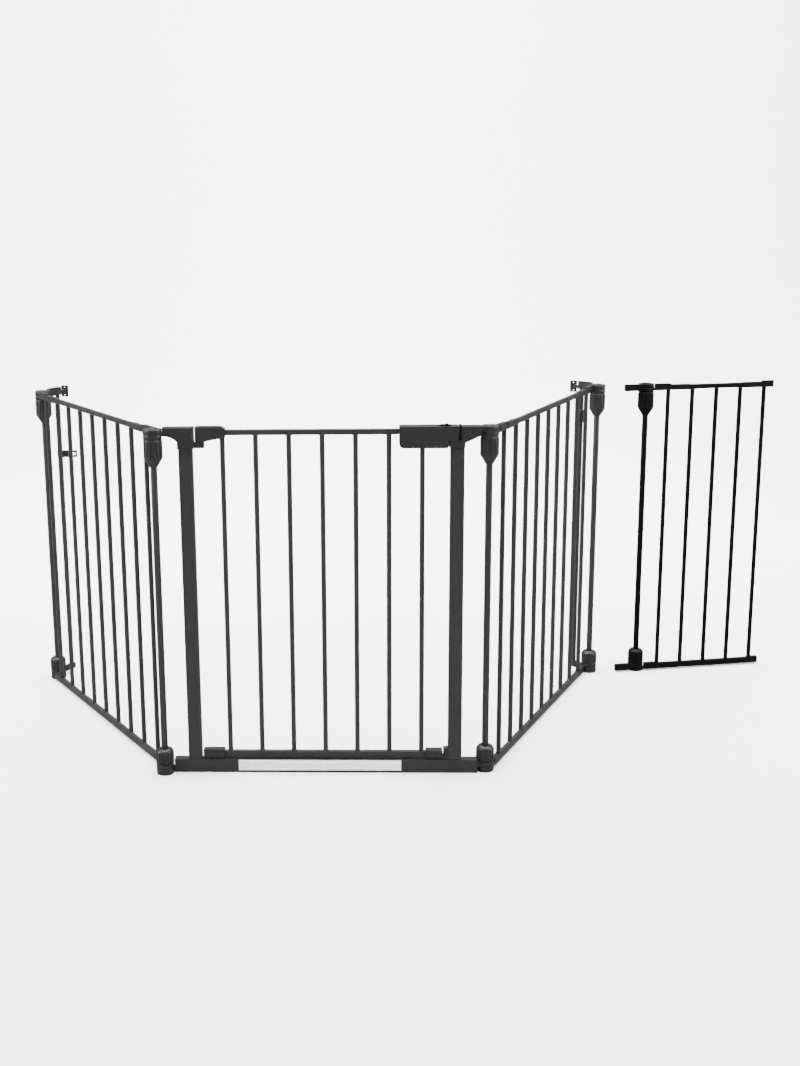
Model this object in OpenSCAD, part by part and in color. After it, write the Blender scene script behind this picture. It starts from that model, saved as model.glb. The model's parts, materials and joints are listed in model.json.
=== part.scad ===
// Freestanding or wall-fixed baby safety gate in millimetres.
// A door section, two folding side sections and one loose extension panel.
// X runs left to right along the door, Y runs from the outside into the
// guarded side, Z runs up from the floor. The doorway's centre is the origin.

/* [Sections] */
// Distance between the two hinge axes of a full section
section_w = 720; // [500:1:900]
// Offset of every hinge axis from the middle plane of its section
hub_offset = 11.5; // [9:0.5:16]
// Angle by which the left section is folded in from straight
left_fold = 55.7; // [0:0.1:90]
// Angle by which the right section is folded in from straight
right_fold = 63.9; // [0:0.1:90]
// Height of the top of the hinge castings
gate_h = 786; // [700:1:900]

/* [Bars and rails] */
// Diameter of the upright bars
bar_d = 11; // [8:0.5:16]
// First bar of a side section, from its left hinge axis
bar_first = 56; // [50:0.5:70]
// Distance from bar to bar in a side section
bar_pitch = 75.25; // [60:0.25:76]
// Number of bars in a side section
bar_count = 9; // [5:1:12]
// Depth of the rails, front to back
rail_depth = 11; // [8:0.5:16]
// Height of the top rails
top_rail_h = 12; // [8:0.5:20]
// Height of the bottom rails
low_rail_h = 16.5; // [10:0.5:24]
// Length of the cover sleeves on the top rails
sleeve_len = 63; // [40:1:64]

/* [Hinges] */
// Diameter of the hinge posts
post_d = 15; // [12:0.5:20]
// Radius of the stacked hinge rings
ring_r = 20; // [16:0.5:24]
// Radius of the fluted collars
collar_r = 20.3; // [16:0.1:24]
// Grip grooves around one collar
flute_count = 14; // [8:1:20]
// Width of the arm castings
arm_w = 11.5; // [8:0.5:14]
// Height of the arm castings
arm_h = 17; // [12:0.5:22]

/* [Door frame] */
// Height of the threshold beam
threshold_h = 31; // [20:1:40]
// Depth of the threshold beam and the uprights
frame_depth = 20; // [16:1:30]
// Width of the frame uprights
upright_w = 30.5; // [20:0.5:40]
// Depth of the two frame caps
cap_depth = 28; // [24:1:36]

/* [Leaf] */
// X position of the leaf's hinge pins
pin_x = -260.5; // [-262:0.5:-255]
// Radius of the leaf's hinge pins
pin_r = 4; // [3:0.1:5]
// Distance from bar to bar in the leaf
leaf_pitch = 71.4; // [60:0.1:74]
// Number of bars in the leaf
leaf_bars_n = 7; // [5:1:9]
// Depth of the handle housing
handle_depth = 32; // [24:1:40]

/* [Wall arms] */
// Direction of the left wall arm, from the X axis
left_wall_dir = 58.5; // [0:0.5:120]
// Direction of the right wall arm, from the X axis
right_wall_dir = 132; // [60:1:180]
// Distance from the hinge axis to the wall plate
wall_reach = 80; // [70:1:90]
// Radius of the screw holes in the wall plates
wall_hole_r = 1.5; // [1.5:0.1:3]
// Distance between the two screw holes of a wall plate
wall_hole_gap = 20; // [16:0.5:22]

/* [Extension] */
// Length of the extension panel from hinge axis to end
ext_len = 345; // [200:1:400]
// Distance from bar to bar in the extension
ext_pitch = 66.2; // [50:0.1:70]
// Number of bars in the extension
ext_bars_n = 5; // [3:1:6]
// X position of the extension's hinge axis
ext_x = 826; // [800:1:900]
// Y position of the extension's hinge axis
ext_y = 662; // [600:1:700]
// Turn of the extension about its hinge axis
ext_turn = 10; // [0:1:20]

/* [Colours] */
// Enamelled steel
steel_color = "#5c5d5f";
// Moulded plastic
plastic_color = "#55565a";
// Darker enamel of the extension
dark_color = "#2b2c2e";

/* [Hidden] */
$fn = 96;
bar_r = bar_d / 2;
post_r = post_d / 2;
run_gap = 0.05;
cut = 1;
top_rail_z = gate_h - 16;
top_arm_z = gate_h - arm_h;
low_arm_z = 4;
low_rail_z = 3;
ring_lo_h = 11.8;
ring_hi_z = 12.1;
ring_hi_top = 24;
top_lo_z = gate_h - 22;
top_lo_top = gate_h - 11.2;
top_hi_z = gate_h - 10.8;
foot_z = 24.5;
foot_round = 11;
foot_top = 59.5;
collar_lip = 722.5;
collar_top = top_lo_z - 0.3;
cone_z = 703.5;
cone_r = 8.8;
collar_bevel_z = 760.5;
collar_bevel_r = 19.2;
collar_neck_z = 762;
collar_neck_r = 18.3;
flute_r = 2.4;
flute_out = 0.9;
flute_z = collar_lip + 3;
foot_neck_top = 26;
foot_flute_z = foot_z + 4;
foot_flute_top = 54;
ring_clear = ring_r + 0.9;
arm_in = 18.5;
neck_end = ring_clear + 1;
left_arm_end = bar_first + bar_r + 0.3;
last_bar = bar_first + bar_pitch * (bar_count - 1);
right_arm_start = last_bar - bar_r - 0.3;
screw_in = 37;
screw_r = 4;
screw_h = 1.6;
sleeve_wall = 0.8;
sleeve_gap = 2.5;
notch_slot = 1;
notch_w = 3;
half_w = section_w / 2;
beam_left = 21 - half_w;
beam_right = half_w - 18.5;
beam_top = threshold_h;
upright_left_x = -307;
upright_right_x = 275.5;
upright_top = 741.5;
cap_top = 787.5;
cap_half = cap_depth / 2;
cap_end = half_w - 19.5;
cap_arc_x = -338;
cap_arc_z = 728;
cap_arc_r = 42;
cap_link_z = top_lo_z + 6;
hinge_cap_x = -274;
shelf_x = -251.5;
shelf_low = 743;
shelf_top = 755;
shelf_half = 9;
latch_shelf_x = 271.2;
latch_step_x = 275;
latch_shelf_low = 744;
latch_shelf_top = 758;
latch_wall_x = 299;
latch_back_x = 293.6;
latch_back_y = -5;
latch_peg_x = 296.5;
latch_peg_y = 4;
latch_peg_r = 2.8;
latch_peg_top = 790.5;
latch_slant_x = 306.5;
latch_slant_z = 752.4;
latch_slant_end = 768.5;
latch_pin_x = 283;
latch_pin_low = 751;
latch_hole_r = 4.3;
latch_hole_low = 750;
channel_x = 308;
channel_half = 4;
channel_low = 762.5;
channel_top = 781.5;
washer_r = 8;
washer_low = shelf_top + 0.02;
washer_top = shelf_top + 2;
block_low = washer_top + 0.2;
block_r = 10.5;
block_flat = 10.5;
block_slope = 38.5;
block_step = block_low + 6;
block_lip = top_rail_z + top_rail_h + 2;
block_bevel = 8;
block_top = 789;
pin_low = 743.5;
pin_high = 775;
foot_pin_low = 14;
foot_pin_high = 46;
foot_hole_low = 10;
shoe_low = 35;
shoe_top = 53.5;
shoe_half = 9;
shoe_x = -273;
shoe_end = -225;
leaf_low_z = 33.5;
leaf_low_top = 50;
leaf_first = -212.2;
leaf_rail_x = -206;
handle_x = 166.4;
handle_low = 741.7;
handle_top = 788;
handle_foot_x = 270.2;
handle_nose_x = 292.4;
handle_nose_low = 758.3;
handle_round = 10;
handle_half = handle_depth / 2;
latch_shoe_x = 225.5;
latch_shoe_end = 263.5;
tongue_x = 255;
tongue_half = 3;
tongue_low = 36;
tongue_top = 42;
tongue_gap = 0.6;
tongue_slot_x = tongue_x - 2;
tongue_slot_top = tongue_top + 3;
keeper_x = 265.3;
keeper_top = 60.6;
keeper_half = 8;
bolt_x = 246;
bolt_end = 302;
bolt_low = 763;
bolt_top = 773;
bolt_half = 3.5;
bolt_travel = 10;
bolt_clear = 0.3;
stem_x = 259;
stem_end = 269;
stem_half = 3;
button_x = 254;
button_end = 275.4;
button_half = 9;
button_h = 2;
bump_x = 268;
bump_r = 2.2;
label_x = -194;
label_end = 171;
label_low = 5.4;
label_top = 30;
label_t = 0.4;
wall_bar_r = 52;
wall_arm_end = 61;
wall_top_z = 769;
wall_top_h = 20.5;
wall_low_h = 15;
left_wall_low_z = 9.3;
right_wall_low_z = 0.5;
neck_half = 4;
plate_w = 18;
plate_h = 30;
plate_t = 4;
left_plate_z = 761;
right_plate_z = 759;
clip_z = 602;
clip_h = 18;
clip_r = 8.5;
clip_len = 44;
clip_t = 5;
clip_window = 14;
clip_rim = 4;
right_clip_z = 680;
right_clip_h = 34;
right_clip_len = 16;
ext_first = 56;
ext_last = ext_first + ext_pitch * (ext_bars_n - 1);
ext_rail_end = ext_last - bar_r - 0.3;
ext_sleeve_in = ext_first + ext_pitch - bar_r - 1;
ext_sleeve_out = ext_last - ext_pitch + bar_r + 1;
ext_screw_x = ext_len - 10;
stub_len = 62;

// Sub-part to build, or all of them

// ---- placing ----

module at_left_section() {
  translate([-half_w, -hub_offset, 0])
    rotate([0, 0, -left_fold])
      translate([-section_w, hub_offset, 0])
        children();
}

module at_right_section() {
  translate([half_w, hub_offset, 0])
    rotate([0, 0, right_fold])
      translate([0, -hub_offset, 0])
        children();
}

module at_near_left() {
  translate([-half_w, -hub_offset, 0])
    children();
}

module at_near_right() {
  translate([half_w, hub_offset, 0])
    children();
}

module at_far_left() {
  at_left_section()
    translate([0, hub_offset, 0])
      children();
}

module at_far_right() {
  at_right_section()
    translate([section_w, -hub_offset, 0])
      children();
}

module at_ext_hub() {
  translate([ext_x, ext_y, 0])
    rotate([0, 0, ext_turn])
      children();
}

module at_ext() {
  at_ext_hub()
    translate([0, -hub_offset, 0])
      children();
}

// A box from its lowest to its highest corner
module box(lo, hi) {
  translate(lo)
    cube(hi - lo);
}

// An upright round rod
module rod(x, y, r, z0, z1) {
  translate([x, y, z0])
    cylinder(r = r, h = z1 - z0);
}

// ---- shared pieces ----

module top_collar() {
  difference() {
    rotate_extrude()
      polygon([
        [post_r + run_gap, cone_z],
        [cone_r, cone_z],
        [collar_r, collar_lip],
        [collar_r, collar_bevel_z],
        [collar_bevel_r, collar_neck_z],
        [collar_neck_r, collar_neck_z],
        [collar_neck_r, collar_top],
        [post_r + run_gap, collar_top]
      ]);
    collar_flutes(flute_z, collar_bevel_z);
  }
}

module foot_collar() {
  difference() {
    union() {
      rod(0, 0, collar_neck_r, foot_z, foot_neck_top);
      rod(0, 0, collar_r, foot_neck_top, foot_top - foot_round);
      rod(0, 0, collar_r - foot_round, foot_z, foot_top);
      translate([0, 0, foot_top - foot_round])
        rotate_extrude()
          translate([collar_r - foot_round, 0])
            difference() {
              circle(r = foot_round);
              translate([-foot_round * 2, -foot_round])
                square(foot_round * 2);
            }
    }
    rod(0, 0, post_r + run_gap, foot_z - cut, foot_top + cut);
    collar_flutes(foot_flute_z, foot_flute_top);
  }
}

module collar_flutes(z0, z1) {
  for (i = [0 : flute_count - 1])
    rotate([0, 0, (i + 0.5) * 360 / flute_count])
      rod(collar_r + flute_out, 0, flute_r, z0, z1);
}

// One hinge casting: ring, neck and arm block along +x from the ring
module hinge_arm(z0, z1, block_z, length, side, height = arm_h) {
  y0 = side - arm_w / 2;
  y1 = side + arm_w / 2;
  difference() {
    union() {
      rod(0, 0, ring_r, z0, z1);
      box([0, y0, max(z0, block_z)],
          [neck_end, y1, min(z1, block_z + height)]);
      difference() {
        box([arm_in, y0, block_z], [length, y1, block_z + height]);
        rod(0, 0, ring_clear, block_z - cut, block_z + height + cut);
      }
    }
    rod(0, 0, post_r + run_gap, z0 - cut, z1 + cut);
  }
}

// The top and bottom casting with the lower ring of the stack
module lower_ring_arms(length, side) {
  hinge_arm(0, ring_lo_h, low_arm_z, length, side);
  hinge_arm(top_lo_z, top_lo_top, top_arm_z, length, side);
}

// The top and bottom casting with the upper ring of the stack
module upper_ring_arms(length, side) {
  hinge_arm(ring_hi_z, ring_hi_top, low_arm_z, length, side);
  hinge_arm(top_hi_z, gate_h, top_arm_z, length, side);
}

module post() {
  rod(0, 0, post_r, 1, gate_h - 1);
}

// A screw head on the guarded side of an arm
module screw_head(x, z) {
  translate([x, arm_w / 2 + screw_h, z])
    rotate([90, 0, 0])
      cylinder(r = screw_r, h = screw_h);
}

module screw_pair(x) {
  screw_head(x, low_arm_z + arm_h / 2);
  screw_head(x, top_arm_z + arm_h / 2);
}

// A sleeve clipped around the top rail, with a notch at each end
module rail_sleeve(x0, x1) {
  y1 = rail_depth / 2;
  z1 = top_rail_z + top_rail_h;
  difference() {
    box([x0, -y1 - sleeve_wall, top_rail_z - sleeve_wall],
        [x1, y1 + sleeve_wall, z1 + sleeve_wall]);
    box([x0 - cut, -y1, top_rail_z],
        [x1 + cut, y1, z1]);
    for (x = [x0 + notch_w, x1 - notch_w - notch_slot])
      box([x, -y1 - cut * 2, z1 - notch_w],
          [x + notch_slot, y1 + cut * 2, z1 + cut * 2]);
  }
}

module rail(x0, x1, z0, height) {
  box([x0, -rail_depth / 2, z0], [x1, rail_depth / 2, z0 + height]);
}

// ---- side sections, from the left hinge axis at x = 0 ----

module section_bars() {
  low = low_rail_z + low_rail_h;
  for (i = [1 : bar_count - 2])
    rod(bar_first + i * bar_pitch, 0, bar_r, low, top_rail_z);
  for (x = [bar_first, last_bar])
    rod(x, 0, bar_r, low_arm_z + arm_h, top_arm_z);
}

module section_castings() {
  translate([0, hub_offset, 0])
    lower_ring_arms(left_arm_end, -hub_offset);
  translate([section_w, -hub_offset, 0])
    rotate([0, 0, 180])
      upper_ring_arms(section_w - right_arm_start, -hub_offset);
}

module section_sleeves() {
  rail_sleeve(left_arm_end + sleeve_gap, left_arm_end + sleeve_len);
  rail_sleeve(right_arm_start - sleeve_len, right_arm_start - sleeve_gap);
}

module section_screws() {
  screw_pair(screw_in);
  screw_pair(section_w - screw_in);
}

module left_top_rail() {
  color(steel_color)
    at_left_section()
      rail(left_arm_end, right_arm_start, top_rail_z, top_rail_h);
}

module left_bottom_rail() {
  color(steel_color)
    at_left_section()
      rail(left_arm_end, right_arm_start, low_rail_z, low_rail_h);
}

module left_bars() {
  color(steel_color)
    at_left_section()
      section_bars();
}

module left_arm_castings() {
  color(plastic_color)
    at_left_section()
      section_castings();
}

module left_rail_sleeves() {
  color(plastic_color)
    at_left_section()
      section_sleeves();
}

module left_arm_screws() {
  color(dark_color)
    at_left_section()
      section_screws();
}

module left_far_post() {
  color(steel_color)
    at_far_left()
      post();
}

module right_top_rail() {
  color(steel_color)
    at_right_section()
      rail(left_arm_end, right_arm_start, top_rail_z, top_rail_h);
}

module right_bottom_rail() {
  color(steel_color)
    at_right_section()
      rail(left_arm_end, right_arm_start, low_rail_z, low_rail_h);
}

module right_bars() {
  color(steel_color)
    at_right_section()
      section_bars();
}

module right_arm_castings() {
  color(plastic_color)
    at_right_section()
      section_castings();
}

module right_rail_sleeves() {
  color(plastic_color)
    at_right_section()
      section_sleeves();
}

module right_arm_screws() {
  color(dark_color)
    at_right_section()
      section_screws();
}

module right_far_post() {
  color(steel_color)
    at_far_right()
      post();
}

// ---- wall arms ----

module left_wall_frame() {
  at_far_left()
    rotate([0, 0, left_fold + left_wall_dir])
      children();
}

module right_wall_frame() {
  at_far_right()
    rotate([0, 0, right_wall_dir - right_fold])
      children();
}

// The plate at the top of a wall arm that points in the direction dir
module wall_plate(dir, z) {
  mid_x = wall_reach * cos(dir);
  mid_y = wall_reach * sin(dir);
  mid_z = z + plate_h / 2;
  difference() {
    union() {
      rotate([0, 0, dir])
        box([wall_arm_end, -neck_half, mid_z - neck_half],
            [wall_reach, neck_half, mid_z + neck_half]);
      box([mid_x - plate_w / 2, mid_y - plate_t / 2, z],
          [mid_x + plate_w / 2, mid_y + plate_t / 2, z + plate_h]);
    }
    box([mid_x - plate_w, mid_y + plate_t / 2, z],
        [mid_x + plate_w, mid_y + plate_w, z + plate_h]);
    for (s = [-1, 1])
      translate([mid_x, mid_y + plate_t, mid_z + s * wall_hole_gap / 2])
        rotate([90, 0, 0])
          cylinder(r = wall_hole_r, h = 2 * plate_t);
  }
}

// A clip snapped on the bar of a wall arm
module bar_clip(z, height, length) {
  mid_z = z + height / 2;
  difference() {
    union() {
      rod(0, 0, clip_r, z, z + height);
      box([0, -clip_t / 2, z], [length, clip_t / 2, z + height]);
    }
    rod(0, 0, bar_r + run_gap, z - cut, z + height + cut);
    if (length > clip_window + clip_r + clip_rim)
      box([length - clip_window - clip_rim, -clip_t, mid_z - clip_rim],
          [length - clip_rim, clip_t, mid_z + clip_rim]);
  }
}

module left_wall_castings() {
  color(plastic_color)
    left_wall_frame() {
      hinge_arm(ring_hi_z, ring_hi_top, left_wall_low_z, wall_arm_end, 0, wall_low_h);
      hinge_arm(top_hi_z, gate_h, wall_top_z, wall_arm_end, 0, wall_top_h);
    }
}

module left_wall_bar() {
  color(steel_color)
    left_wall_frame()
      rod(wall_bar_r, 0, bar_r, left_wall_low_z + wall_low_h, wall_top_z);
}

module left_wall_plate() {
  color(plastic_color)
    at_far_left()
      rotate([0, 0, left_fold])
        wall_plate(left_wall_dir, left_plate_z);
}

module left_wall_clip() {
  color(plastic_color)
    left_wall_frame()
      translate([wall_bar_r, 0, 0])
        rotate([0, 0, -left_wall_dir])
          bar_clip(clip_z, clip_h, clip_len);
}

module right_wall_castings() {
  color(plastic_color)
    right_wall_frame() {
      hinge_arm(0, ring_lo_h, right_wall_low_z, wall_arm_end, 0, wall_low_h);
      hinge_arm(top_lo_z, top_lo_top, wall_top_z, wall_arm_end, 0, wall_top_h);
    }
}

module right_wall_bar() {
  color(steel_color)
    right_wall_frame()
      rod(wall_bar_r, 0, bar_r, right_wall_low_z + wall_low_h, wall_top_z);
}

module right_wall_plate() {
  color(plastic_color)
    at_far_right()
      rotate([0, 0, -right_fold])
        wall_plate(right_wall_dir, right_plate_z);
}

module right_wall_clip() {
  color(plastic_color)
    right_wall_frame()
      translate([wall_bar_r, 0, 0])
        rotate([0, 0, -right_wall_dir])
          bar_clip(right_clip_z, right_clip_h, right_clip_len);
}

// ---- door frame ----

module threshold_beam() {
  color(steel_color)
    difference() {
      box([beam_left, -frame_depth / 2, 0],
          [beam_right, frame_depth / 2, beam_top]);
      rod(pin_x, 0, pin_r + run_gap, foot_hole_low, beam_top + cut);
      at_near_right()
        rod(0, 0, ring_clear, -cut, beam_top + cut);
    }
}

module threshold_label() {
  color("#e4e4e2")
    box([label_x, -frame_depth / 2 - label_t, label_low],
        [label_end, -frame_depth / 2, label_top]);
}

module threshold_end_rings() {
  color(plastic_color) {
    difference() {
      union() {
        at_near_left()
          rod(0, 0, ring_r, 0, ring_lo_h);
        box([-half_w, -frame_depth / 2, 0],
            [beam_left, arm_w / 2, ring_lo_h]);
      }
      at_near_left()
        rod(0, 0, post_r + run_gap, -cut, ring_lo_h + cut);
    }
    difference() {
      union() {
        at_near_right()
          rod(0, 0, ring_r, ring_hi_z, ring_hi_top);
        box([beam_right, -arm_w / 2, ring_hi_z],
            [half_w, frame_depth / 2, ring_hi_top]);
      }
      at_near_right()
        rod(0, 0, post_r + run_gap, ring_hi_z - cut, ring_hi_top + cut);
    }
  }
}

module frame_uprights() {
  color(steel_color)
    for (x = [upright_left_x, upright_right_x])
      box([x, -frame_depth / 2, beam_top],
          [x + upright_w, frame_depth / 2, upright_top]);
}

module hinge_side_cap() {
  color(plastic_color)
    difference() {
      union() {
        difference() {
          box([-cap_end, -cap_half, upright_top],
              [hinge_cap_x, cap_half, cap_top]);
          intersection() {
            translate([cap_arc_x, cap_half + cut, cap_arc_z])
              rotate([90, 0, 0])
                cylinder(r = cap_arc_r, h = cap_depth + 2 * cut);
            box([-half_w, -cap_depth, 0],
                [upright_left_x - 1, cap_depth, cap_top]);
          }
        }
        box([hinge_cap_x, -shelf_half, shelf_low],
            [shelf_x, shelf_half, shelf_top]);
        at_near_left()
          rod(0, 0, ring_r, top_lo_z, top_lo_top);
        box([-half_w, -cap_half, cap_link_z],
            [-cap_end, arm_w / 2, top_lo_top]);
      }
      at_near_left()
        rod(0, 0, ring_clear, top_lo_top, cap_top + cut);
      at_near_left()
        rod(0, 0, post_r + run_gap, top_lo_z - cut, top_lo_top + cut);
      rod(pin_x, 0, pin_r + run_gap, shelf_low - cut, shelf_top + cut);
    }
}

module latch_side_cap() {
  color(plastic_color)
    difference() {
      union() {
        translate([0, cap_half, 0])
          rotate([90, 0, 0])
            linear_extrude(cap_depth)
              polygon([
                [latch_wall_x, cap_top],
                [cap_end, cap_top],
                [cap_end, latch_slant_end],
                [latch_slant_x, latch_slant_z],
                [latch_slant_x, upright_top],
                [latch_step_x, upright_top],
                [latch_step_x, latch_shelf_low],
                [latch_shelf_x, latch_shelf_low],
                [latch_shelf_x, latch_shelf_top],
                [latch_wall_x, latch_shelf_top]
              ]);
        box([latch_back_x, latch_back_y, latch_shelf_top],
            [latch_wall_x, cap_half, cap_top]);
        rod(latch_peg_x, latch_peg_y, latch_peg_r, cap_top, latch_peg_top);
        at_near_right()
          rod(0, 0, ring_r, top_hi_z, gate_h);
        box([cap_end, -arm_w / 2, top_hi_z],
            [half_w, cap_half, gate_h]);
      }
      at_near_right()
        rod(0, 0, ring_clear, upright_top, top_hi_z);
      at_near_right()
        rod(0, 0, post_r + run_gap, top_hi_z - cut, gate_h + cut);
      rod(latch_pin_x, 0, latch_hole_r, latch_hole_low, latch_shelf_top + cut);
      box([latch_back_x - cut, -channel_half, channel_low],
          [channel_x, channel_half, channel_top]);
    }
}

module bottom_keeper() {
  color(plastic_color) {
    round_z = keeper_top - keeper_half;
    box([keeper_x, -keeper_half, beam_top],
        [upright_right_x, keeper_half, round_z]);
    translate([keeper_x, 0, round_z])
      rotate([0, 90, 0])
        cylinder(r = keeper_half, h = upright_right_x - keeper_x);
    box([tongue_x, -tongue_half, tongue_low],
        [keeper_x, tongue_half, tongue_top]);
  }
}

module door_hub_posts() {
  color(steel_color) {
    at_near_left()
      post();
    at_near_right()
      post();
  }
}

// ---- leaf ----

module hinge_pins() {
  color(dark_color) {
    rod(pin_x, 0, pin_r, pin_low, pin_high);
    rod(pin_x, 0, washer_r, washer_low, washer_top);
    rod(pin_x, 0, pin_r, foot_pin_low, foot_pin_high);
    rod(pin_x, 0, washer_r, beam_top + 0.02, shoe_low - 0.2);
  }
}

module leaf_top_rail() {
  color(steel_color)
    rail(leaf_rail_x, handle_x, top_rail_z, top_rail_h);
}

module leaf_bottom_rail() {
  color(steel_color)
    rail(shoe_end, latch_shoe_x, leaf_low_z, leaf_low_top - leaf_low_z);
}

module leaf_bars() {
  color(steel_color) {
    for (i = [1 : leaf_bars_n - 2])
      rod(leaf_first + i * leaf_pitch, 0, bar_r, leaf_low_top, top_rail_z);
    rod(leaf_first, 0, bar_r, leaf_low_top, block_step);
    rod(leaf_first + (leaf_bars_n - 1) * leaf_pitch, 0, bar_r,
        leaf_low_top, handle_low);
  }
}

module leaf_hinge_block() {
  color(plastic_color)
    difference() {
      union() {
        rod(pin_x, 0, block_r, block_low, block_top);
        translate([0, block_r, 0])
          rotate([90, 0, 0])
            linear_extrude(2 * block_r)
              polygon([
                [pin_x, block_low],
                [pin_x + block_flat, block_low],
                [pin_x + block_slope, block_step],
                [leaf_rail_x, block_step],
                [leaf_rail_x, block_lip],
                [leaf_rail_x - block_bevel, block_top],
                [pin_x, block_top]
              ]);
      }
      rod(pin_x, 0, pin_r + run_gap, block_low - cut, pin_high + 1);
    }
}

module leaf_hinge_shoe() {
  color(plastic_color)
    difference() {
      box([shoe_x, -shoe_half, shoe_low],
          [shoe_end, shoe_half, shoe_top]);
      rod(pin_x, 0, pin_r + run_gap, shoe_low - cut, foot_pin_high + 1);
    }
}

module leaf_latch_shoe() {
  color(plastic_color)
    difference() {
      box([latch_shoe_x, -shoe_half, shoe_low],
          [latch_shoe_end, shoe_half, shoe_top]);
      box([tongue_slot_x, -tongue_half - tongue_gap, shoe_low - cut],
          [latch_shoe_end + cut, tongue_half + tongue_gap, tongue_slot_top]);
    }
}

// The handle housing's side view, drawn from x and height
module handle_side() {
  difference() {
    union() {
      translate([handle_x + handle_round, handle_low])
        square([handle_foot_x - handle_x - handle_round, handle_round]);
      translate([handle_x + handle_round, handle_low + handle_round])
        circle(r = handle_round);
      translate([handle_x, handle_low + handle_round])
        square([handle_foot_x - handle_x, handle_top - handle_low - handle_round]);
      translate([handle_foot_x - 1, handle_nose_low])
        square([handle_nose_x - handle_foot_x + 1, handle_top - handle_nose_low]);
    }
    // Channel for the lock bolt
    translate([bolt_x - bolt_travel - 1, bolt_low - bolt_clear])
      square([handle_nose_x, bolt_top - bolt_low + 2 * bolt_clear]);
  }
}

// Material on both sides of the lock bolt
module handle_half_shell(y0, y1, inner0, inner1) {
  difference() {
    union() {
      translate([0, y1, 0])
        rotate([90, 0, 0])
          linear_extrude(y1 - y0)
            handle_side();
      box([bolt_x - bolt_travel - 2, inner0, bolt_low - cut],
          [handle_nose_x, inner1, bolt_top + cut]);
    }
    box([stem_x - bolt_travel - 1, -stem_half - bolt_clear, bolt_top],
        [stem_end + 1, stem_half + bolt_clear, handle_top + cut]);
  }
}

module handle_front_shell() {
  color(plastic_color)
    handle_half_shell(-handle_half, 0, -handle_half, -bolt_half - bolt_clear);
}

module handle_back_shell() {
  color(plastic_color)
    handle_half_shell(0, handle_half, bolt_half + bolt_clear, handle_half);
}

module latch_pin() {
  color(dark_color)
    rod(latch_pin_x, 0, pin_r, latch_pin_low, handle_nose_low);
}

module lock_slider() {
  color(dark_color) {
    box([bolt_x, -bolt_half, bolt_low], [bolt_end, bolt_half, bolt_top]);
    box([stem_x, -stem_half, bolt_top],
        [stem_end, stem_half, handle_top + bolt_clear]);
    box([button_x, -button_half, handle_top + bolt_clear],
        [button_end, button_half, handle_top + bolt_clear + button_h]);
    translate([bump_x, button_half, handle_top + bolt_clear + button_h])
      rotate([90, 0, 0])
        cylinder(r = bump_r, h = 2 * button_half);
  }
}

// ---- collars ----

module near_left_top_collar() {
  color(plastic_color)
    at_near_left()
      top_collar();
}

module near_left_foot_collar() {
  color(plastic_color)
    at_near_left()
      foot_collar();
}

module near_right_top_collar() {
  color(plastic_color)
    at_near_right()
      top_collar();
}

module near_right_foot_collar() {
  color(plastic_color)
    at_near_right()
      foot_collar();
}

module far_left_top_collar() {
  color(plastic_color)
    at_far_left()
      top_collar();
}

module far_left_foot_collar() {
  color(plastic_color)
    at_far_left()
      foot_collar();
}

module far_right_top_collar() {
  color(plastic_color)
    at_far_right()
      top_collar();
}

module far_right_foot_collar() {
  color(plastic_color)
    at_far_right()
      foot_collar();
}

module ext_top_collar() {
  color(dark_color)
    at_ext_hub()
      top_collar();
}

module ext_foot_collar() {
  color(dark_color)
    at_ext_hub()
      foot_collar();
}

// ---- extension panel ----

module ext_top_rail() {
  color(dark_color)
    at_ext()
      rail(left_arm_end, ext_rail_end, top_rail_z, top_rail_h);
}

module ext_bottom_rail() {
  color(dark_color)
    at_ext()
      rail(left_arm_end, ext_rail_end, low_rail_z, low_rail_h);
}

module ext_bars() {
  low = low_rail_z + low_rail_h;
  color(dark_color)
    at_ext() {
      for (i = [1 : ext_bars_n - 2])
        rod(ext_first + i * ext_pitch, 0, bar_r, low, top_rail_z);
      for (x = [ext_first, ext_last])
        rod(x, 0, bar_r, low_arm_z + arm_h, top_arm_z);
    }
}

module ext_arm_castings() {
  color(dark_color)
    at_ext() {
      translate([0, hub_offset, 0])
        lower_ring_arms(left_arm_end, -hub_offset);
      for (z = [low_arm_z, top_arm_z])
        box([ext_rail_end, -arm_w / 2, z], [ext_len, arm_w / 2, z + arm_h]);
    }
}

module ext_rail_sleeves() {
  color(dark_color)
    at_ext() {
      rail_sleeve(left_arm_end + sleeve_gap, ext_sleeve_in);
      rail_sleeve(ext_sleeve_out, ext_rail_end - sleeve_gap);
    }
}

module ext_arm_screws() {
  color(dark_color)
    at_ext() {
      screw_pair(screw_in);
      screw_pair(ext_screw_x);
    }
}

module ext_post() {
  color(dark_color)
    at_ext_hub()
      post();
}

module ext_stub_castings() {
  color(dark_color)
    at_ext_hub()
      rotate([0, 0, 180])
        upper_ring_arms(stub_len, hub_offset);
}

// ---- build ----

threshold_beam();
threshold_label();
threshold_end_rings();
frame_uprights();
hinge_side_cap();
latch_side_cap();
bottom_keeper();
door_hub_posts();
hinge_pins();
leaf_top_rail();
leaf_bottom_rail();
leaf_bars();
leaf_hinge_block();
leaf_hinge_shoe();
leaf_latch_shoe();
handle_front_shell();
handle_back_shell();
latch_pin();
lock_slider();
left_top_rail();
left_bottom_rail();
left_bars();
left_arm_castings();
left_rail_sleeves();
left_arm_screws();
left_far_post();
right_top_rail();
right_bottom_rail();
right_bars();
right_arm_castings();
right_rail_sleeves();
right_arm_screws();
right_far_post();
left_wall_castings();
left_wall_bar();
left_wall_plate();
left_wall_clip();
right_wall_castings();
right_wall_bar();
right_wall_plate();
right_wall_clip();
near_left_top_collar();
near_left_foot_collar();
near_right_top_collar();
near_right_foot_collar();
far_left_top_collar();
far_left_foot_collar();
far_right_top_collar();
far_right_foot_collar();
ext_top_collar();
ext_foot_collar();
ext_top_rail();
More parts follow.
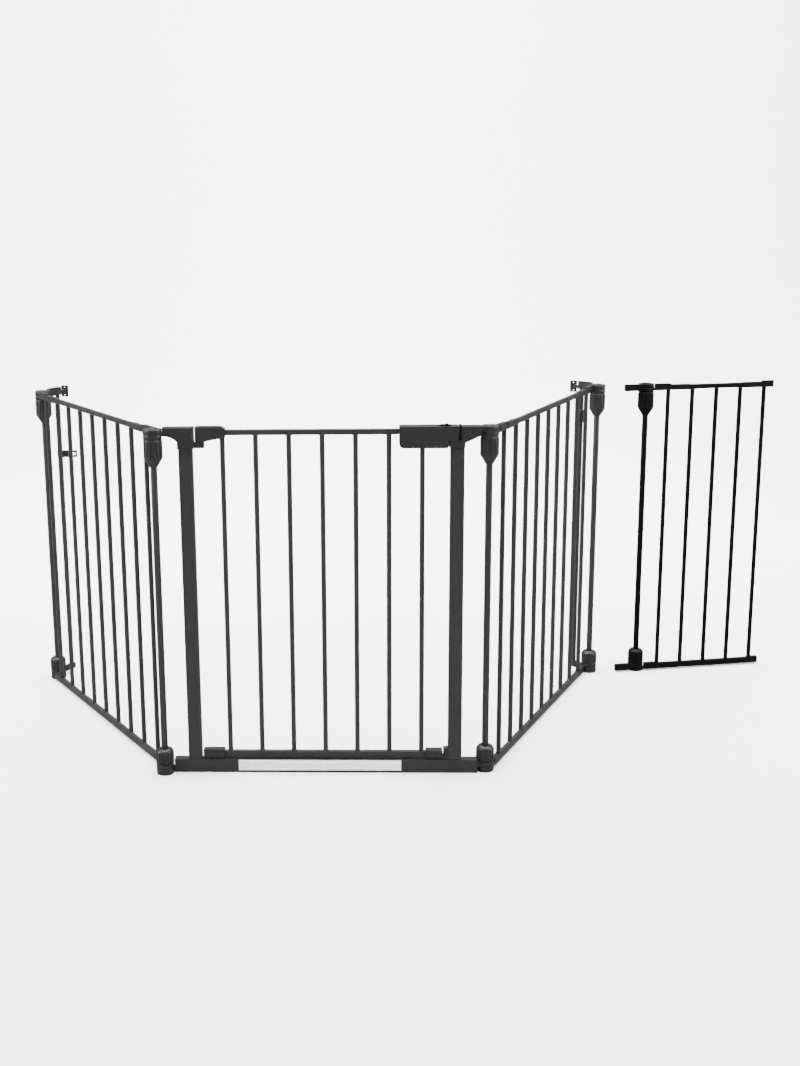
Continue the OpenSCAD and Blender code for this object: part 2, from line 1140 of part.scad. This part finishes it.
ext_bottom_rail();
ext_bars();
ext_arm_castings();
ext_rail_sleeves();
ext_arm_screws();
ext_post();
ext_stub_castings();
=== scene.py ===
"""Looks for the baby safety gate: enamel, moulded plastic, welds and fixings
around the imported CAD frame. Metres, X along the door, Y to the guarded side."""
import json
import math

import bpy
from mathutils import Matrix, Vector


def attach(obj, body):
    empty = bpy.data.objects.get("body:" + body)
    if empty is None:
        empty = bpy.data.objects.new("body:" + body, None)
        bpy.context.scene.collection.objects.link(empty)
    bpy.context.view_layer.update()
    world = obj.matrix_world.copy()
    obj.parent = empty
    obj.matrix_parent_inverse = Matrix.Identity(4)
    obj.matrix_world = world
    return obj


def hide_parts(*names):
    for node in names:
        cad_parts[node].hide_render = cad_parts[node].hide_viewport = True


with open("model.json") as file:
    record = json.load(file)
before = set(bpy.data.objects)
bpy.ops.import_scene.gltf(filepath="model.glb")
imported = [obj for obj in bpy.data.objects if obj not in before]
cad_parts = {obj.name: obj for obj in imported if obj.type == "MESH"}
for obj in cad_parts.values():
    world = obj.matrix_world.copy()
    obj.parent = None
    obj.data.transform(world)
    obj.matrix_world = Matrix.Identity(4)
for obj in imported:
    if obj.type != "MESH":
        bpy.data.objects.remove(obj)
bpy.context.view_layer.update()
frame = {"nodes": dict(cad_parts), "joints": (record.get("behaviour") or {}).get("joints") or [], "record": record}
scene = bpy.context.scene
NODES = frame["nodes"]

# ---------------------------------------------------------------- materials


def new_material(name):
    mat = bpy.data.materials.new(name)
    mat.use_nodes = True
    tree = mat.node_tree
    shader = tree.nodes["Principled BSDF"]
    return mat, tree, shader


def coords(tree):
    return tree.nodes.new("ShaderNodeTexCoord").outputs["Object"]


def noise(tree, where, scale, detail=2.0, rough=0.5):
    node = tree.nodes.new("ShaderNodeTexNoise")
    node.inputs["Scale"].default_value = scale
    node.inputs["Detail"].default_value = detail
    node.inputs["Roughness"].default_value = rough
    tree.links.new(where, node.inputs["Vector"])
    return node.outputs["Fac"]


def remap(tree, value, low, high):
    node = tree.nodes.new("ShaderNodeMapRange")
    node.inputs["To Min"].default_value = low
    node.inputs["To Max"].default_value = high
    tree.links.new(value, node.inputs["Value"])
    return node.outputs["Result"]


def bump(tree, shader, height, strength, distance):
    node = tree.nodes.new("ShaderNodeBump")
    node.inputs["Strength"].default_value = strength
    node.inputs["Distance"].default_value = distance
    tree.links.new(height, node.inputs["Height"])
    tree.links.new(node.outputs["Normal"], shader.inputs["Normal"])


SPREAD = 0.1
ROUGH_SPREAD = 0.05


def surface(name, colour, rough, grain, grain_depth, gloss=0.25, metal=0.0):
    """A coloured surface with a fine grain and slightly uneven gloss."""
    mat, tree, shader = new_material(name)
    where = coords(tree)
    shader.inputs["Metallic"].default_value = metal
    shader.inputs["Specular IOR Level"].default_value = gloss
    blotch = noise(tree, where, 9.0, 3.0)
    mix = tree.nodes.new("ShaderNodeMix")
    mix.data_type = "RGBA"
    mix.inputs["A"].default_value = [c * (1 - SPREAD) for c in colour] + [1]
    mix.inputs["B"].default_value = [c * (1 + SPREAD) for c in colour] + [1]
    tree.links.new(blotch, mix.inputs["Factor"])
    tree.links.new(mix.outputs["Result"], shader.inputs["Base Color"])
    fine = noise(tree, where, grain, 2.0, 0.6)
    uneven = remap(tree, fine, rough - ROUGH_SPREAD, rough + ROUGH_SPREAD)
    tree.links.new(uneven, shader.inputs["Roughness"])
    bump(tree, shader, fine, 0.25, grain_depth)
    return mat


ENAMEL = (0.0165, 0.0165, 0.0172)
MOULDED = (0.0125, 0.0125, 0.0131)
DARK_ENAMEL = (0.0016, 0.0016, 0.0018)
DARK_PLASTIC = (0.0020, 0.0020, 0.0022)
ZINC = (0.03, 0.03, 0.032)
steel = surface("enamelled_steel", ENAMEL, 0.32, 700, 0.00008, gloss=0.20)
plastic = surface("moulded_plastic", MOULDED, 0.31, 1400, 0.00008, gloss=0.24)
dark_steel = surface("dark_enamel", DARK_ENAMEL, 0.34, 700, 0.00008, gloss=0.08)
dark_plastic = surface("dark_plastic", DARK_PLASTIC, 0.40, 1400, 0.00010, gloss=0.10)
fixing = surface("zinc_fixings", ZINC, 0.34, 500, 0.00004, metal=0.6)


def printed_film():
    """White label film with plain grey bars where the print would be."""
    mat, tree, shader = new_material("label_film")
    shader.inputs["Roughness"].default_value = 0.3
    split = tree.nodes.new("ShaderNodeSeparateXYZ")
    tree.links.new(coords(tree), split.inputs["Vector"])
    flat = tree.nodes.new("ShaderNodeCombineXYZ")
    tree.links.new(split.outputs["X"], flat.inputs["X"])
    tree.links.new(split.outputs["Z"], flat.inputs["Y"])
    bars = tree.nodes.new("ShaderNodeTexBrick")
    tree.links.new(flat.outputs["Vector"], bars.inputs["Vector"])
    bars.inputs["Color1"].default_value = (0.34, 0.34, 0.34, 1)
    bars.inputs["Color2"].default_value = (0.72, 0.72, 0.71, 1)
    bars.inputs["Mortar"].default_value = (0.80, 0.80, 0.79, 1)
    bars.inputs["Scale"].default_value = 1.0
    bars.inputs["Mortar Size"].default_value = 0.0016
    bars.inputs["Brick Width"].default_value = 0.047
    bars.inputs["Row Height"].default_value = 0.0052
    tree.links.new(bars.outputs["Color"], shader.inputs["Base Color"])
    return mat


film = printed_film()
SLOTS = {
    "enamelled_steel": steel,
    "moulded_plastic": plastic,
    "dark_enamel": dark_steel,
    "dark_plastic": dark_plastic,
    "zinc_fixings": fixing,
    "label_film": film,
}
SLOT_OF = {s["node"]: s["material_slot"] for s in frame["record"]["subparts"]}

for name, obj in NODES.items():
    obj.data.materials.clear()
    obj.data.materials.append(SLOTS[SLOT_OF[name]])

# ---------------------------------------------------- rounded edges on CAD


def soften(obj, width, segments=2, angle=30):
    """Round the sharp edges of a CAD node with modifiers only."""
    weld = obj.modifiers.new("weld", "WELD")
    weld.merge_threshold = 0.00001
    bevel = obj.modifiers.new("bevel", "BEVEL")
    bevel.width = width
    bevel.segments = segments
    bevel.limit_method = "ANGLE"
    bevel.angle_limit = math.radians(angle)
    bevel.harden_normals = True


EDGE = {
    "rail": 0.0022,
    "beam": 0.0025,
    "uprights": 0.0025,
    "cap": 0.0010,
    "castings": 0.0012,
    "rings": 0.0012,
    "collar": 0.0007,
    "shell": 0.0018,
    "block": 0.0012,
    "shoe": 0.0012,
    "keeper": 0.0012,
    "slider": 0.0006,
    "plate": 0.0008,
    "clip": 0.0008,
    "sleeves": 0.0003,
    "post": 0.0008,
    "screws": 0.0006,
    "pin": 0.0005,
}
for name, obj in NODES.items():
    for word, width in EDGE.items():
        if word in name and not ("rail" == word and "sleeves" in name):
            soften(obj, width)
            break

# --------------------------------------------------------------- small parts


def add_object(name, mesh, slot_name, body):
    obj = bpy.data.objects.new(name, mesh)
    scene.collection.objects.link(obj)
    mesh.materials.append(SLOTS[slot_name])
    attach(obj, body)
    return obj


def lathe(points, places, steps=24, stretch=(1, 1)):
    """Turn a profile of (radius, height) about each place's local z axis."""
    verts, faces = [], []
    for place in places:
        base = len(verts)
        for r, z in points:
            for i in range(steps):
                a = 2 * math.pi * i / steps
                p = Vector((r * math.cos(a) * stretch[0], r * math.sin(a) * stretch[1], z))
                verts.append(place @ p)
        n = len(points)
        for j in range(n - 1):
            for i in range(steps):
                k = (i + 1) % steps
                faces.append((base + j * steps + i, base + j * steps + k,
                              base + (j + 1) * steps + k, base + (j + 1) * steps + i))
        faces.append(tuple(base + i for i in reversed(range(steps))))
        faces.append(tuple(base + (n - 1) * steps + i for i in range(steps)))
    mesh = bpy.data.meshes.new("turned")
    mesh.from_pydata(verts, [], faces)
    mesh.shade_smooth()
    mesh.set_sharp_from_angle(angle=math.radians(40))
    return mesh


JOINT = {j["name"]: j for j in frame["joints"]}
SECTION_W, HUB_OFFSET = 0.720, 0.0115
BAR_PITCH, BAR_FIRST = 0.07525, 0.056
RAIL_TOP, RAIL_LOW = 0.770, 0.0195
ARM_MID = (0.0125, 0.7775)
ARM_HALF = 0.00575
SCREW_IN = 0.037
LEAF_FIRST, LEAF_PITCH, LEAF_LOW = -0.2122, 0.0714, 0.050
EXT_FIRST, EXT_PITCH, EXT_TURN = 0.056, 0.0662, 10
EXT_SCREW = 0.335


def shift(x, y, z):
    return Matrix.Translation((x, y, z))


def turn(degrees, axis="Z"):
    return Matrix.Rotation(math.radians(degrees), 4, axis)


def section_frame(left_hub, right_hub):
    """Local frame of a section: x from its left hinge axis, y to the inside."""
    a, b = Vector(left_hub), Vector(right_hub)
    lean = math.atan2(2 * HUB_OFFSET, SECTION_W)
    angle = math.atan2(b.y - a.y, b.x - a.x) + lean
    return shift(a.x, a.y, 0) @ Matrix.Rotation(angle, 4, "Z") @ shift(0, -HUB_OFFSET, 0)


hub = {
    "near_left": JOINT["left_fold"]["pos_m"],
    "near_right": JOINT["right_fold"]["pos_m"],
    "far_left": JOINT["left_wall_swivel"]["pos_m"],
    "far_right": JOINT["right_wall_swivel"]["pos_m"],
    "ext": JOINT["extension_stub_swivel"]["pos_m"],
}
left = section_frame(hub["far_left"], hub["near_left"])
right = section_frame(hub["near_right"], hub["far_right"])
ext = shift(hub["ext"][0], hub["ext"][1], 0) @ turn(EXT_TURN) @ shift(0, -HUB_OFFSET, 0)
door = Matrix.Identity(4)

# Weld fillets where the bars meet the rails
FILLET = [(0.0053, 0.0030), (0.0058, 0.0018), (0.0066, 0.0008), (0.0079, 0.0)]


def welds(name, base, spots, slot_name, body):
    places = []
    for x, low, high in spots:
        places.append(base @ shift(x, 0, low) @ turn(180, "X"))
        places.append(base @ shift(x, 0, high))
    profile = [(r, -z) for r, z in FILLET]
    return add_object(name, lathe(profile, places, 20, (1, 0.72)), slot_name, body)


inner_bars = [BAR_FIRST + BAR_PITCH * i for i in range(1, 8)]
side_spots = [(x, RAIL_LOW, RAIL_TOP) for x in inner_bars]
welds("left_welds", left, side_spots, "enamelled_steel", "left_section")
welds("right_welds", right, side_spots, "enamelled_steel", "right_section")
leaf_spots = [(LEAF_FIRST + LEAF_PITCH * i, LEAF_LOW, RAIL_TOP) for i in range(1, 6)]
welds("leaf_welds", door, leaf_spots, "enamelled_steel", "leaf")
ext_spots = [(EXT_FIRST + EXT_PITCH * i, RAIL_LOW, RAIL_TOP) for i in range(1, 4)]
welds("ext_welds", ext, ext_spots, "dark_enamel", "extension")

# Button-head screws with a round socket, in place of the plain heads
HEAD = [(0.0041, 0.0), (0.0042, 0.0005), (0.0037, 0.0012), (0.0027, 0.0016),
        (0.0021, 0.0016), (0.0019, 0.0007), (0.0002, 0.0007)]


def screws(name, base, xs, body, node):
    places = [base @ shift(x, ARM_HALF, z) @ turn(-90, "X") for x in xs for z in ARM_MID]
    obj = add_object(name, lathe(HEAD, places, 24), "zinc_fixings", body)
    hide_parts(node)


SIDE_SCREWS = (SCREW_IN, SECTION_W - SCREW_IN)
EXT_SCREWS = (SCREW_IN, EXT_SCREW)
screws("left_screw_heads", left, SIDE_SCREWS, "left_section", "left_arm_screws")
screws("right_screw_heads", right, SIDE_SCREWS, "right_section", "right_arm_screws")
screws("ext_screw_heads", ext, EXT_SCREWS, "extension", "ext_arm_screws")

# Plugs that close the tops of the hinge posts
PLUG = [(0.0072, 0.7851), (0.0098, 0.7861), (0.0098, 0.7868), (0.0090, 0.7875),
        (0.0045, 0.7879), (0.0002, 0.7880)]
OWNER = {"near_left": "door_frame", "near_right": "door_frame",
         "far_left": "left_section", "far_right": "right_section", "ext": "extension"}
for name, place in hub.items():
    mesh = lathe(PLUG, [shift(place[0], place[1], 0)], 40)
    finish = "dark_plastic" if name == "ext" else "moulded_plastic"
    add_object(name + "_post_plug", mesh, finish, OWNER[name])

# ------------------------------------------------------------ stage and light


def backdrop():
    """A pale floor that curves up into a wall behind the gate."""
    verts, faces = [], []
    profile = [(-9.0, 0.0), (3.6, 0.0)]
    for i in range(1, 13):
        a = math.radians(90 * i / 12)
        profile.append((3.6 + 2.2 * math.sin(a), 2.2 * (1 - math.cos(a))))
    profile.append((5.8, 8.0))
    for y, z in profile:
        verts += [(-10, y, z), (10, y, z)]
    for i in range(len(profile) - 1):
        faces.append((2 * i, 2 * i + 1, 2 * i + 3, 2 * i + 2))
    mesh = bpy.data.meshes.new("backdrop")
    mesh.from_pydata(verts, [], faces)
    mesh.shade_smooth()
    obj = bpy.data.objects.new("backdrop", mesh)
    scene.collection.objects.link(obj)
    mat, tree, shader = new_material("backdrop")
    shader.inputs["Base Color"].default_value = (0.92, 0.92, 0.92, 1)
    shader.inputs["Roughness"].default_value = 0.9
    shader.inputs["Specular IOR Level"].default_value = 0.1
    mesh.materials.append(mat)
    # Left out of reflections, which keeps the edges of the bars dark
    obj.visible_glossy = False


def area_light(name, place, target, size, power):
    data = bpy.data.lights.new(name, "AREA")
    data.shape = "RECTANGLE"
    data.size, data.size_y = size
    data.energy = power
    obj = bpy.data.objects.new(name, data)
    obj.location = place
    aim = Vector(target) - Vector(place)
    obj.rotation_euler = aim.to_track_quat("-Z", "Y").to_euler()
    scene.collection.objects.link(obj)


backdrop()
area_light("left_softbox", (-3.6, -0.6, 1.9), (0, 0.2, 0.4), (2.6, 2.6), 260)
area_light("right_softbox", (3.8, -0.5, 1.9), (0, 0.2, 0.4), (2.6, 2.6), 200)
area_light("top_softbox", (0.0, 0.6, 4.2), (0, 0.4, 0), (5.0, 4.0), 1050)
area_light("wall_wash", (0.0, 2.2, 3.8), (0, 5.6, 1.6), (7.0, 1.2), 1000)

world = bpy.data.worlds.new("studio")
scene.world = world
world.use_nodes = True
world.node_tree.nodes["Background"].inputs["Color"].default_value = (1, 1, 1, 1)
world.node_tree.nodes["Background"].inputs["Strength"].default_value = 0.40

# --------------------------------------------------------------------- camera

CAM_PLACE = Vector((0.1056, -2.7196, 1.2417))
CAM_YAW, CAM_PITCH, CAM_ROLL = 0.03459, 0.2099, -0.01139
ahead = Vector((-math.sin(CAM_YAW) * math.cos(CAM_PITCH),
                math.cos(CAM_YAW) * math.cos(CAM_PITCH), -math.sin(CAM_PITCH)))
level = Vector((math.cos(CAM_YAW), math.sin(CAM_YAW), 0))
above = level.cross(ahead)
side = level * math.cos(CAM_ROLL) + above * math.sin(CAM_ROLL)
over = above * math.cos(CAM_ROLL) - level * math.sin(CAM_ROLL)
cam_data = bpy.data.cameras.new("camera")
cam_data.sensor_fit = "HORIZONTAL"
cam_data.sensor_width = 36
cam_data.lens = 58.185
cam_data.shift_x = 0.09125
cam_data.shift_y = -0.06125
camera = bpy.data.objects.new("camera", cam_data)
scene.collection.objects.link(camera)
pose = Matrix((side, over, -ahead)).transposed().to_4x4()
camera.matrix_world = Matrix.Translation(CAM_PLACE) @ pose
scene.camera = camera
